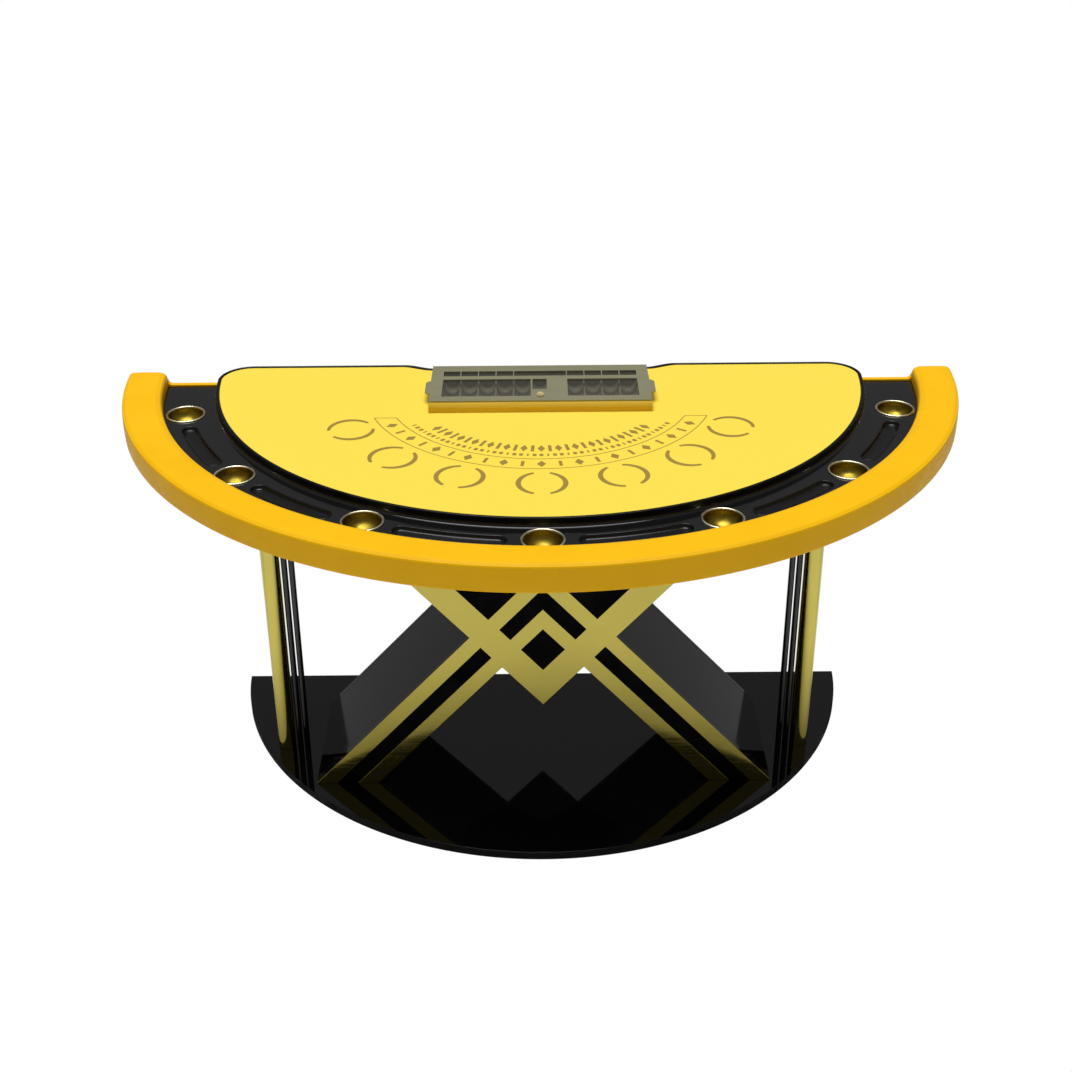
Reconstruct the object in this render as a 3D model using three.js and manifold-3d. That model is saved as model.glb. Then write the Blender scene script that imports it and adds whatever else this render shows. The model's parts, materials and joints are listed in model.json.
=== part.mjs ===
// Half-moon card table: padded armrest, racetrack with seven cups, felt deck,
// lockable chip tray, crossed pedestal and two clustered columns on a D-shaped base.
// Units are millimetres, Z is up, the dealer sits at +Y, the players at -Y.
import * as THREE from 'three';
import Module from 'manifold-3d';

const wasm = await Module();
wasm.setup();

// ---------------------------------------------------------------- dimensions
const GAP = 0.3;               // clearance left between touching pieces

// plan of the table top: a half ellipse cut by a straight back line
const TOP_A = 1065;            // half width of the armrest
const TOP_B = 1038;            // semi-axis of the curved front
const TOP_CY = 492;            // centre of the ellipse
const TOP_BACK = 481;          // straight back ends of the armrest
const DECK_BACK = 546;         // the deck runs on behind the armrest
const CUT_BACK = 521;          // shallow dealer cut-out in the deck
const CUT_HALF = 315;
const CORNER_R = 84;           // rounded back corners of the deck
const ARM_W = 98;              // armrest width
const TRACK_END = 231;         // inward offset where the racetrack ends
const TRIM_W = 9;              // black edge trim round the deck
const STATIONS = 44;           // steps along the curved front

// heights
const Z_UNDERLAY = 3;
const Z_BASE = 25;
const Z_PED_TOP = 757;
const Z_SUB = 788;             // underside of the structural board
const Z_SUB_TOP = 804;
const Z_ARM_BOTTOM = 793;
const Z_ARM_TOP = 861;
const Z_TRACK = 824;
const Z_DECK = 842;
const Z_FELT = 844;
const Z_TRIM = 846.5;

// cups
const CUPS = [                 // ellipse angle in degrees, inset of the centre
  [-76.7, 153], [-51.6, 158], [-26.25, 173], [0, 173], [26.25, 173], [51.6, 158], [76.7, 153],
];
const CUP_FLANGE_R = 50;
const CUP_R = 43;
const CUP_BOTTOM = 789;
const SLOT_INSETS = [152, 160, 168, 168, 160, 152];
const SLOT_HALF_W = 19;
const SLOT_GAP_DEG = 5;        // slot end to cup centre, in ellipse angle
const SLOT_DEPTH = 8;

// chip tray
const TRAY_HALF_W = 277;
const TRAY_Y0 = 244;
const TRAY_Y1 = 463;
const TRAY_STEP = 7;           // the body below the rim is this much smaller
const TRAY_BOTTOM = 819.6;
const TRAY_RIM = 867.7;
const CH_PITCH = 45;
const CH_COUNT = 11;
const CH_R = 21;
const CH_Z = 846;
const LID_Z0 = 868;
const LID_Z1 = 872;
const HINGE_Y = 469;
const HINGE_Z = 862;           // the barrels sit behind the body, under the lid's back edge
const LOCK_X = 0;
const LOCK_Y = 281;

// pedestal: two slanted legs (inverted V) crossed by two arms (V)
const PED_Y0 = -173.3;
const PED_Y1 = 183;
const BOARD = 18;
const LEG_K = 1.0857;          // slope of the legs
const ARM_K = 1.105;           // slope of the arms
const M = [639, 583, 527, 472];    // leg lines, height at x = 0
const L = [258, 358];              // arm lines, height at x = 0
const PED_Z0 = Z_BASE + GAP;

// base and columns
const BASE_A = 800;
const BASE_B = 797;
const BASE_CY = 354;
const BASE_BACK = 311;
const COL_X = 640;             // middle of each column cluster
const COL_Y = -9;
const TUBE = [17.5, 22.5];     // offset away from the middle of the table, radius
const RODS = [[-15.2, 7.6], [-32.9, 7.5]];

// ------------------------------------------------------------------- helpers
function toManifold(geometry) {
  const welded = mergeIdentical(geometry.index ? geometry.toNonIndexed() : geometry);
  const vertProperties = new Float32Array(welded.attributes.position.array);
  const triVerts = new Uint32Array(welded.index.array);
  return new wasm.Manifold(new wasm.Mesh({ numProp: 3, vertProperties, triVerts }));
}

function mergeIdentical(geometry) {
  const pos = geometry.attributes.position;
  const seen = new Map();
  const points = [];
  const index = [];
  for (let i = 0; i < pos.count; i += 1) {
    const key = [pos.getX(i), pos.getY(i), pos.getZ(i)].map((v) => Math.round(v * 1e4)).join('_');
    if (!seen.has(key)) {
      seen.set(key, points.length / 3);
      points.push(pos.getX(i), pos.getY(i), pos.getZ(i));
    }
    index.push(seen.get(key));
  }
  const kept = [];
  for (let i = 0; i < index.length; i += 3) {
    const [a, b, c] = index.slice(i, i + 3);
    if (a !== b && b !== c && a !== c) kept.push(a, b, c);
  }
  const out = new THREE.BufferGeometry();
  out.setAttribute('position', new THREE.BufferAttribute(new Float32Array(points), 3));
  out.setIndex(kept);
  return out;
}

function fromManifold(solid) {
  const mesh = solid.getMesh();
  const out = new THREE.BufferGeometry();
  const count = mesh.numProp;
  const source = mesh.vertProperties;
  const pos = new Float32Array((source.length / count) * 3);
  for (let i = 0; i < source.length / count; i += 1) {
    pos[3 * i] = source[count * i];
    pos[3 * i + 1] = source[count * i + 1];
    pos[3 * i + 2] = source[count * i + 2];
  }
  out.setAttribute('position', new THREE.BufferAttribute(pos, 3));
  out.setIndex(Array.from(mesh.triVerts));
  return out;
}

function carve(body, tools) {
  let solid = toManifold(body);
  for (const tool of tools) solid = solid.subtract(toManifold(tool));
  return fromManifold(solid);
}

function join(parts) {
  let solid = toManifold(parts[0]);
  for (const part of parts.slice(1)) solid = solid.add(toManifold(part));
  return fromManifold(solid);
}

function counterClockwise(points) {
  const pts = points.map(([x, y]) => new THREE.Vector2(x, y));
  return THREE.ShapeUtils.isClockWise(pts) ? pts.reverse() : pts;
}

function plate(points, z0, z1, holes = []) {
  const shape = new THREE.Shape(counterClockwise(points));
  for (const hole of holes) shape.holes.push(new THREE.Path(counterClockwise(hole)));
  const g = new THREE.ExtrudeGeometry(shape, { depth: z1 - z0, bevelEnabled: false });
  g.translate(0, 0, z0);
  return g;
}

// a front-view outline (x, z) given thickness along Y
function upright(points, y0, y1, holes = []) {
  const g = plate(points, 0, y1 - y0, holes);
  g.rotateX(Math.PI / 2);
  g.translate(0, y1, 0);
  return g;
}

// a side-view outline (y, z) given thickness along X
function sideways(points, x0, x1) {
  const g = plate(points, x0, x1);
  g.applyMatrix4(new THREE.Matrix4().set(0, 0, 1, 0, 1, 0, 0, 0, 0, 1, 0, 0, 0, 0, 0, 1));
  return g;
}

function box(x0, x1, y0, y1, z0, z1) {
  const g = new THREE.BoxGeometry(x1 - x0, y1 - y0, z1 - z0);
  g.translate((x0 + x1) / 2, (y0 + y1) / 2, (z0 + z1) / 2);
  return g;
}

function rod(x0, x1, y, z, r, sides) {
  const g = new THREE.CylinderGeometry(r, r, x1 - x0, sides);
  g.rotateZ(Math.PI / 2);
  g.translate((x0 + x1) / 2, y, z);
  return g;
}

function post(x, y, z0, z1, r, sides) {
  const g = new THREE.CylinderGeometry(r, r, z1 - z0, sides);
  g.rotateX(Math.PI / 2);
  g.translate(x, y, (z0 + z1) / 2);
  return g;
}

function circle(x, y, r, sides) {
  const out = [];
  for (let i = 0; i < sides; i += 1) {
    const t = (i / sides) * 2 * Math.PI;
    out.push([x + r * Math.cos(t), y + r * Math.sin(t)]);
  }
  return out;
}

function rect(x0, x1, y0, y1) {
  return [[x0, y0], [x1, y0], [x1, y1], [x0, y1]];
}

// a point of the table outline, moved inward by d; angle 0 is the front middle
function onTop(angle, d) {
  const s = Math.sin(angle);
  const c = Math.cos(angle);
  let nx = -s / TOP_A;
  let ny = c / TOP_B;
  const n = Math.hypot(nx, ny);
  nx /= n;
  ny /= n;
  return [TOP_A * s + nx * d, TOP_CY - TOP_B * c + ny * d];
}

const END = Math.acos((TOP_CY - TOP_BACK) / TOP_B);

// station i of the outline moved inward by d, squared off at yEnd
function station(i, d, yEnd = TOP_BACK) {
  if (i > 0 && i < STATIONS) return onTop(-END + (2 * END * i) / STATIONS, d);
  const side = i === 0 ? -1 : 1;
  const [xn, yn] = onTop(side * END * (1 - 2 / STATIONS), d);
  const xe = side * (TOP_A * Math.sin(END) - d);
  const t = Math.min(1, (yEnd - yn) / (TOP_BACK - yn));
  return [xn + (xe - xn) * t, yEnd];
}

function curve(d, yEnd = TOP_BACK) {
  const out = [];
  for (let i = 0; i <= STATIONS; i += 1) out.push(station(i, d, yEnd));
  return out;
}

// a closed section of (inset, height) points carried through the given stops
function sweepThrough(section, stops) {
  const pos = [];
  const index = [];
  const n = section.length;
  const flat = counterClockwise(section);
  const spans = stops.length - 1;
  for (const stop of stops) {
    for (const { x: d, y: z } of flat) {
      const [x, y] = stop(d);
      pos.push(x, y, z);
    }
  }
  for (let i = 0; i < spans; i += 1) {
    for (let j = 0; j < n; j += 1) {
      const k = (j + 1) % n;
      const a = i * n + j;
      const b = i * n + k;
      const c = (i + 1) * n + k;
      const d = (i + 1) * n + j;
      index.push(a, b, c, a, c, d);
    }
  }
  const last = spans * n;
  for (const [a, b, c] of THREE.ShapeUtils.triangulateShape(flat, [])) {
    index.push(a, c, b);
    index.push(last + a, last + b, last + c);
  }
  const g = new THREE.BufferGeometry();
  g.setAttribute('position', new THREE.BufferAttribute(new Float32Array(pos), 3));
  g.setIndex(index);
  return g;
}

function sweep(section, yEnd = TOP_BACK) {
  const stops = [];
  for (let i = 0; i <= STATIONS; i += 1) stops.push((d) => station(i, d, yEnd));
  return sweepThrough(section, stops);
}

// outline of the deck at an inset from the outside of its edge trim
function deckOutline(inset, steps = 6) {
  const d = TRACK_END + inset;
  const r = CORNER_R - inset;
  const back = DECK_BACK - inset;
  const cut = CUT_BACK - inset;
  const half = CUT_HALF + inset;
  const pts = curve(d, Math.min(TOP_BACK, back - r - 2));
  const xr = TOP_A * Math.sin(END) - d;
  for (let i = 0; i <= steps; i += 1) {
    const t = (i / steps) * (Math.PI / 2);
    pts.push([xr - r + r * Math.cos(t), back - r + r * Math.sin(t)]);
  }
  pts.push([half + 38, back], [half + 14, back - 4], [half - 18, cut + 4], [half - 42, cut]);
  pts.push([-half + 42, cut], [-half + 18, cut + 4], [-half - 14, back - 4], [-half - 38, back]);
  for (let i = 0; i <= steps; i += 1) {
    const t = (1 - i / steps) * (Math.PI / 2);
    pts.push([-xr + r - r * Math.cos(t), back - r + r * Math.sin(t)]);
  }
  return pts;
}

const group = new THREE.Group();

function add(name, geometry, color, roughness, metalness) {
  geometry.computeVertexNormals();
  const material = new THREE.MeshStandardMaterial({ color, roughness, metalness });
  const mesh = new THREE.Mesh(geometry, material);
  mesh.name = name;
  group.add(mesh);
  return mesh;
}

function finish(geometry) {
  return fromManifold(toManifold(geometry));
}

// ------------------------------------------------------------------ base
function dBase(inset) {
  const a = BASE_A - inset;
  const b = BASE_B - inset;
  const end = Math.acos((BASE_CY - BASE_BACK) / BASE_B);
  const pts = [];
  for (let i = 0; i <= 48; i += 1) {
    const t = -end + (2 * end * i) / 48;
    pts.push([a * Math.sin(t), BASE_CY - b * Math.cos(t)]);
  }
  const back = BASE_BACK - inset;
  pts[0][1] = back;
  pts[48][1] = back;
  return pts;
}

function basePlate() {
  return plate(dBase(0), Z_UNDERLAY + GAP, Z_BASE);
}

function baseUnderlay() {
  return plate(dBase(20), 0, Z_UNDERLAY);
}

// --------------------------------------------------------------- pedestal
const legX = (m, z) => (m - z) / LEG_K;
const armX = (l, z) => (z - l) / ARM_K;

function cross(m, l) {
  const x = (m - l) / (LEG_K + ARM_K);
  return [x, l + ARM_K * x];
}

const mirrored = (pts) => pts.map(([x, z]) => [-x, z]).reverse();

// right half of the crossed outline, walked from the top middle to the tip
function crossOutline() {
  const right = [
    [armX(L[0], Z_PED_TOP), Z_PED_TOP], cross(M[0], L[0]), [legX(M[0], PED_Z0), PED_Z0],
    [legX(M[3], PED_Z0), PED_Z0], cross(M[3], L[0]),
  ];
  return [...right, [0, L[0]], ...mirrored(right)];
}

function pedestalFront() {
  return upright(crossOutline(), PED_Y0 + 2 + GAP, PED_Y0 + 2 + GAP + BOARD);
}

function pedestalBack() {
  return upright(crossOutline(), PED_Y1 - BOARD, PED_Y1);
}

const SKIN_Y0 = PED_Y0 + 2 + 2 * GAP + BOARD;
const SKIN_Y1 = PED_Y1 - BOARD - GAP;
const LEG_T = BOARD * Math.hypot(1, LEG_K);
const ARM_T = BOARD * Math.hypot(1, ARM_K);

function skin(points, side) {
  const pts = side > 0 ? points : mirrored(points);
  return upright(pts, SKIN_Y0, SKIN_Y1);
}

function legOuter(side) {
  const m = M[0] - LEG_T;
  const l = L[0] + ARM_T;
  const [x0, z0] = cross(M[0], L[0]);
  const [x1, z1] = cross(m, l);
  return skin([[x0, z0 - GAP], [legX(M[0], PED_Z0), PED_Z0], [legX(m, PED_Z0), PED_Z0],
    [x1, z1 - GAP]], side);
}

function armOuter(side) {
  const m = M[0] - LEG_T;
  const l = L[0] + ARM_T;
  const top = Z_PED_TOP - BOARD - GAP;
  const [x0, z0] = cross(M[0], L[0]);
  const [x1, z1] = cross(m, l);
  return skin([[x0, z0 + GAP], [x1, z1 + GAP], [armX(l, top), top], [armX(L[0], top), top]], side);
}

function legInner(side) {
  const m = M[3] + LEG_T;
  const l = L[0] + ARM_T;
  const [x0, z0] = cross(M[3], L[0]);
  const [x1, z1] = cross(m, l);
  return skin([[x0 + GAP, z0], [x1 + GAP, z1], [legX(m, PED_Z0), PED_Z0],
    [legX(M[3], PED_Z0), PED_Z0]], side);
}

function veeBoard(side) {
  const m = M[3] + LEG_T;
  const l = L[0] + ARM_T;
  const [x0, z0] = cross(M[3], L[0]);
  const [x1, z1] = cross(m, l);
  return skin([[GAP, L[0]], [GAP, l], [x1 - GAP, z1], [x0 - GAP, z0]], side);
}

function pedestalTop() {
  const z0 = Z_PED_TOP - BOARD;
  const right = [[armX(L[0], Z_PED_TOP), Z_PED_TOP], [armX(L[0], z0), z0]];
  return upright([...right, ...mirrored(right)], SKIN_Y0, SKIN_Y1);
}

// gold sheet: the V band and the leg bands, open where the black inlays sit
function goldFascia() {
  const right = [
    [armX(L[1], Z_PED_TOP), Z_PED_TOP], [armX(L[0], Z_PED_TOP), Z_PED_TOP],
    cross(M[0], L[0]), [legX(M[0], PED_Z0), PED_Z0], [legX(M[1], PED_Z0), PED_Z0],
    cross(M[1], L[0]), cross(M[2], L[0]), [legX(M[2], PED_Z0), PED_Z0],
    [legX(M[3], PED_Z0), PED_Z0], cross(M[3], L[0]),
  ];
  const outer = [
    [0, M[0]], cross(M[0], L[1]), ...right, [0, L[0]],
    ...mirrored(right), ...mirrored([cross(M[0], L[1])]),
  ];
  const d = cross(M[3], L[1]);
  const diamond = [[0, M[3]], d, [0, L[1]], [-d[0], d[1]]];
  const half = [cross(M[1], L[1]), cross(M[2], L[1])];
  const chevron = [[0, M[1]], ...half, [0, M[2]], ...mirrored(half)];
  return upright(outer, PED_Y0, PED_Y0 + 2, [diamond, chevron]);
}

const INLAY_G = 0.6;

function inlay(points) {
  return upright(points, PED_Y0 + 0.2, PED_Y0 + 2);
}

function inlayDiamond() {
  const m = M[3] - INLAY_G;
  const l = L[1] + INLAY_G;
  const d = cross(m, l);
  return inlay([[0, m], d, [0, l], [-d[0], d[1]]]);
}

function inlayChevron() {
  const m1 = M[1] - INLAY_G;
  const m2 = M[2] + INLAY_G;
  const l = L[1] + INLAY_G;
  const half = [cross(m1, l), cross(m2, l)];
  return inlay([[0, m1], ...half, [0, m2], ...mirrored(half)]);
}

function inlayUpper() {
  const m = M[0] + INLAY_G;
  const l = L[1] + INLAY_G;
  const half = [[armX(l, Z_PED_TOP), Z_PED_TOP], cross(m, l)];
  return inlay([...half, [0, m], ...mirrored(half)]);
}

function inlayLeg(side) {
  const m1 = M[1] - INLAY_G;
  const m2 = M[2] + INLAY_G;
  const l = L[0] - INLAY_G;
  const pts = [cross(m1, l), [legX(m1, PED_Z0), PED_Z0], [legX(m2, PED_Z0), PED_Z0], cross(m2, l)];
  return inlay(side > 0 ? pts : mirrored(pts));
}

// ----------------------------------------------------------------- columns
// one gold tube and two slender rods stand side by side in each column
function columnPost(side, [offset, r], sides) {
  const z1 = Z_SUB - 8 - 2 * GAP;
  return post(side * (COL_X + offset), COL_Y, Z_BASE + GAP, z1, r, sides);
}

function columnFlange(side) {
  const x = side * COL_X;
  return plate(rect(x - 60, x + 60, COL_Y - 60, COL_Y + 60), Z_SUB - 8 - GAP, Z_SUB - GAP);
}

function bearer(y) {
  return box(-680, 680, y - 25, y + 25, Z_PED_TOP + GAP, Z_SUB - GAP);
}

// --------------------------------------------------------------- table top
function cupCentre(i) {
  return onTop((CUPS[i][0] * Math.PI) / 180, CUPS[i][1]);
}

function subTop() {
  return plate(curve(220, TOP_BACK - 3), Z_SUB, Z_SUB_TOP);
}

// rail under the armrest, with a ledge that carries the racetrack
function armrestCore() {
  return sweep([
    [14, Z_SUB], [106, Z_SUB], [106, Z_SUB_TOP], [90, Z_SUB_TOP], [90, 838], [20, 838],
    [20, Z_SUB_TOP], [14, Z_SUB_TOP],
  ], TOP_BACK - 3.5);
}

function armrestPad() {
  const z0 = Z_SUB_TOP + GAP;
  const t = Z_ARM_TOP;
  const outside = [
    [2, Z_ARM_BOTTOM], [0, Z_ARM_BOTTOM + 3], [0, t - 14], [1.6, t - 7.5], [6, t - 2.6],
    [13, t], [76, t], [86, t - 2], [93.5, t - 7], [97.4, t - 14], [ARM_W, t - 20], [ARM_W, z0],
  ];
  const body = sweep([
    ...outside, [90.5, z0], [90.5, 838.5], [19.5, 838.5], [19.5, z0], [13.5, z0],
    [13.5, Z_ARM_BOTTOM],
  ]);
  const xe = TOP_A * Math.sin(END);
  const cap = [...outside, [13.5, z0], [13.5, Z_ARM_BOTTOM]].map(([d, z]) => [xe - d, z]);
  return join([body, upright(cap, TOP_BACK - 3, TOP_BACK), upright(mirrored(cap), TOP_BACK - 3, TOP_BACK)]);
}

// low padded strip closing the back end of the racetrack
function endLip(side) {
  const x0 = TOP_A * Math.sin(END) - TRACK_END + GAP;
  const x1 = station(STATIONS, ARM_W, TOP_BACK - 15)[0] - GAP;
  const z0 = Z_SUB_TOP + GAP;
  const z = Z_TRACK + 5;
  const pts = [
    [x0, z0], [x1, z0], [x1, z + 12], [x1 - 1.6, z + 6], [x1 - 5.5, z + 2], [x1 - 12, z],
    [x0 + 3, z], [x0, z - 3],
  ];
  return upright(side > 0 ? pts : mirrored(pts), TOP_BACK - 15, TOP_BACK);
}

// the tool for trough i, between cups i and i + 1
function slotTool(i) {
  const edge = SLOT_GAP_DEG + 1.2;
  const a0 = CUPS[i][0] + edge;
  const a1 = CUPS[i + 1][0] - edge;
  const mid = SLOT_INSETS[i];
  const pts = [];
  const steps = 8;
  const put = (deg, d) => pts.push(onTop((deg * Math.PI) / 180, d));
  for (let k = 0; k <= steps; k += 1) put(a0 + ((a1 - a0) * k) / steps, mid - SLOT_HALF_W);
  const capDeg = (SLOT_HALF_W / 905) * (180 / Math.PI);
  for (let k = 1; k < 6; k += 1) {
    const t = (k / 6) * Math.PI;
    put(a1 + capDeg * Math.sin(t), mid - SLOT_HALF_W * Math.cos(t));
  }
  for (let k = steps; k >= 0; k -= 1) put(a0 + ((a1 - a0) * k) / steps, mid + SLOT_HALF_W);
  for (let k = 1; k < 6; k += 1) {
    const t = (k / 6) * Math.PI;
    put(a0 - capDeg * Math.sin(t), mid + SLOT_HALF_W * Math.cos(t));
  }
  return plate(pts, Z_TRACK - SLOT_DEPTH, Z_TRACK + 5);
}

// the racetrack is laid in eight lengths that meet on the cup centre lines
function racetrack(k) {
  const z0 = Z_SUB_TOP + GAP;
  const e = TRACK_END - 1.2;
  const o = ARM_W + 1;
  const joint = 0.012;
  const a0 = k === 0 ? -90 : CUPS[k - 1][0] + joint;
  const a1 = k === 7 ? 90 : CUPS[k][0] - joint;
  const yEnd = TOP_BACK - 15 - GAP;
  const steps = k === 0 || k === 7 ? 3 : 7;
  const stops = [];
  for (let i = 0; i <= steps; i += 1) {
    const t = ((a0 + ((a1 - a0) * i) / steps) * Math.PI) / 180;
    const end = (k === 0 && i === 0) || (k === 7 && i === steps);
    stops.push(end ? (d) => station(k === 0 ? 0 : STATIONS, d, yEnd) : (d) => onTop(t, d));
  }
  const body = sweepThrough([
    [o, z0], [o, Z_TRACK], [e - 6, Z_TRACK], [e - 2.8, Z_TRACK + 1.4],
    [e - 1.1, Z_TRACK + 4.2], [e - 0.5, Z_TRACK + 9], [e, Z_TRACK + 9.4], [e, z0],
  ], stops);
  const tools = [];
  for (const i of [k - 1, k]) {
    if (CUPS[i]) tools.push(post(...cupCentre(i), z0 - 5, Z_TRACK + 5, CUP_R + 1, 28));
  }
  if (k > 0 && k < 7) tools.push(slotTool(k - 1));
  return carve(body, tools);
}

function cup(index) {
  const [x, y] = cupCentre(index);
  const f = Z_TRACK + GAP;
  const b = CUP_BOTTOM;
  const profile = [
    [0, b], [CUP_R - 5, b], [CUP_R - 1, b + 3], [CUP_R, b + 7], [CUP_R, f], [CUP_FLANGE_R, f],
    [CUP_FLANGE_R - 1, f + 2.2], [CUP_R + 1, f + 3], [CUP_R - 1.8, f + 1.2], [CUP_R - 2, b + 8],
    [CUP_R - 6, b + 3.5], [CUP_R - 14, b + 2.2], [14, b + 4.5], [0, b + 6],
  ].map(([r, z]) => new THREE.Vector2(r, z));
  const g = new THREE.LatheGeometry(profile, 28);
  g.rotateX(Math.PI / 2);
  g.translate(x, y, 0);
  return finish(g);
}

function deckBoard() {
  const s = TRAY_STEP - 1.5;
  const hole = rect(-TRAY_HALF_W + s, TRAY_HALF_W - s, TRAY_Y0 + s, TRAY_Y1 - s);
  return plate(deckOutline(TRIM_W + GAP), Z_SUB_TOP + GAP, Z_DECK, [hole]);
}

function feltCloth() {
  const s = TRAY_STEP - 1.5;
  const hole = rect(-TRAY_HALF_W + s, TRAY_HALF_W - s, TRAY_Y0 + s, TRAY_Y1 - s);
  return plate(deckOutline(TRIM_W + GAP), Z_DECK + GAP, Z_FELT, [hole]);
}

function deckTrim() {
  return plate(deckOutline(0), Z_SUB_TOP + GAP, Z_TRIM, [deckOutline(TRIM_W)]);
}

// --------------------------------------------------------------- chip tray
const KNUCKLES_BODY = [[-250, -200], [-90, -40], [40, 90], [200, 250]];
const KNUCKLES_LID = [[-199, -150], [-20, 20], [150, 199]];

function trayBody() {
  const s = TRAY_STEP;
  const parts = [
    box(-TRAY_HALF_W, TRAY_HALF_W, TRAY_Y0, TRAY_Y1, Z_FELT + GAP, TRAY_RIM),
    box(-TRAY_HALF_W + s, TRAY_HALF_W - s, TRAY_Y0 + s, TRAY_Y1 - s, TRAY_BOTTOM, Z_FELT + 1),
  ];
  for (const [x0, x1] of KNUCKLES_BODY) {
    parts.push(rod(x0, x1, HINGE_Y, HINGE_Z, 5, 14));
    parts.push(box(x0, x1, TRAY_Y1 - 2, HINGE_Y, 853, HINGE_Z - 1.5));
  }
  const half = (CH_COUNT * CH_PITCH) / 2;
  const tools = [
    box(-half - 8, half + 8, TRAY_Y0 + 16, TRAY_Y1 - 7, CH_Z + 4, TRAY_RIM + 5),
    box(LOCK_X - 14, LOCK_X + 44, TRAY_Y0 + 6, TRAY_Y0 + 20, 854, 862),
    rod(-251, 251, HINGE_Y, HINGE_Z, 2.8, 14),
  ];
  // the front top edge slopes back
  tools.push(sideways([
    [TRAY_Y0 - 5, 852], [TRAY_Y0, 857], [TRAY_Y0 + 3, 862.5], [TRAY_Y0 + 8, TRAY_RIM],
    [TRAY_Y0 + 8, TRAY_RIM + 5], [TRAY_Y0 - 5, TRAY_RIM + 5],
  ], -TRAY_HALF_W - 5, TRAY_HALF_W + 5));
  for (let i = 0; i < CH_COUNT; i += 1) {
    const g = new THREE.CylinderGeometry(CH_R, CH_R, 190, 20);
    g.translate(-half + CH_PITCH * (i + 0.5), (TRAY_Y0 + TRAY_Y1 + 7) / 2, CH_Z);
    tools.push(g);
  }
  return carve(join(parts), tools);
}

function trayLid() {
  const half = (CH_COUNT * CH_PITCH) / 2;
  const back = HINGE_Y + 5;
  const front = TRAY_Y0 + 9;
  const right = [
    [277, front], [277, 298], [283, 302], [289, 310], [289, 366], [284, 374], [277, 378],
    [276, back],
  ];
  const outline = [...right, ...mirrored(right)];
  const holes = [];
  const edge = (i) => -half + CH_PITCH * i;
  for (let i = 0; i < CH_COUNT; i += 1) {
    if (i < 4 || i > 6) holes.push(rect(edge(i) + 1.3, edge(i + 1) - 1.3, 407, 438));
  }
  holes.push(rect(edge(4) + 1.3, edge(7) - 1.3, 407, 438));
  holes.push(rect(edge(0) + 1.3, edge(5) - 1.3, 280, 386));
  holes.push(rect(edge(5) + 3, edge(6) - 6, 322, 386));
  holes.push(rect(edge(7) + 1.3, edge(11) - 1.3, 280, 386));
  const parts = [plate(outline, LID_Z0, LID_Z1)];
  for (const [x0, x1] of KNUCKLES_LID) {
    parts.push(rod(x0 + 1, x1 - 1, HINGE_Y, HINGE_Z, 5, 14));
    parts.push(box(x0 + 1, x1 - 1, HINGE_Y - 3, HINGE_Y + 3, HINGE_Z + 1, LID_Z0 + 0.6));
  }
  const tools = [
    rod(-251, 251, HINGE_Y, HINGE_Z, 2.8, 14),
    post(LOCK_X, LOCK_Y, LID_Z0 - 5, LID_Z1 + 5, 6.4, 20),
    ...holes.map((h) => plate(h, LID_Z0 - 2, LID_Z1 + 2)),
  ];
  return carve(join(parts), tools);
}

function lidWindow() {
  const half = (CH_COUNT * CH_PITCH) / 2;
  const outline = rect(-half - 5, half + 5, 268, 452);
  const hole = circle(LOCK_X, LOCK_Y, 8, 16);
  return plate(outline, LID_Z0 - 2 - GAP, LID_Z0 - GAP, [hole]);
}

function hingePin() {
  return rod(-252, 252, HINGE_Y, HINGE_Z, 2.5, 14);
}

// barrel through the lid, knob above, cam below pointing along +X when unlocked
function lidLock() {
  const parts = [
    post(LOCK_X, LOCK_Y, 855, LID_Z1 + 1, 6, 20),
    post(LOCK_X, LOCK_Y, LID_Z1 + GAP, LID_Z1 + 5, 9, 20),
    post(LOCK_X, LOCK_Y, LID_Z1 + 4, LID_Z1 + 8, 6.5, 20),
    box(LOCK_X - 5, LOCK_X + 29, LOCK_Y - 5, LOCK_Y + 5, 856, 860),
  ];
  return join(parts);
}

// ---------------------------------------------------------------- assembly
const GOLD = 0xb99a2e;
const BLACK = 0x111111;

add('base_underlay', finish(baseUnderlay()), 0x1a1a1a, 0.9, 0);
add('base_plate', finish(basePlate()), 0x151515, 0.08, 0);
add('pedestal_front', finish(pedestalFront()), BLACK, 0.15, 0);
add('pedestal_back', finish(pedestalBack()), BLACK, 0.15, 0);
add('pedestal_top', finish(pedestalTop()), BLACK, 0.3, 0);
for (const [tag, side] of [['left', -1], ['right', 1]]) {
  add(`leg_outer_${tag}`, finish(legOuter(side)), BLACK, 0.12, 0);
  add(`leg_inner_${tag}`, finish(legInner(side)), BLACK, 0.12, 0);
  add(`arm_outer_${tag}`, finish(armOuter(side)), BLACK, 0.12, 0);
  add(`vee_board_${tag}`, finish(veeBoard(side)), BLACK, 0.12, 0);
  add(`inlay_leg_${tag}`, finish(inlayLeg(side)), 0x080808, 0.6, 0);
  add(`column_tube_${tag}`, finish(columnPost(side, TUBE, 28)), GOLD, 0.25, 1);
  add(`column_rod_a_${tag}`, finish(columnPost(side, RODS[0], 14)), BLACK, 0.15, 0);
  add(`column_rod_b_${tag}`, finish(columnPost(side, RODS[1], 14)), BLACK, 0.15, 0);
  add(`column_flange_${tag}`, finish(columnFlange(side)), 0x2b2b2b, 0.5, 1);
  add(`end_lip_${tag}`, finish(endLip(side)), 0xf0a812, 0.5, 0);
}
add('fascia_gold', finish(goldFascia()), GOLD, 0.25, 1);
add('inlay_diamond', finish(inlayDiamond()), 0x080808, 0.6, 0);
add('inlay_chevron', finish(inlayChevron()), 0x080808, 0.6, 0);
add('inlay_upper', finish(inlayUpper()), 0x080808, 0.6, 0);
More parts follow.
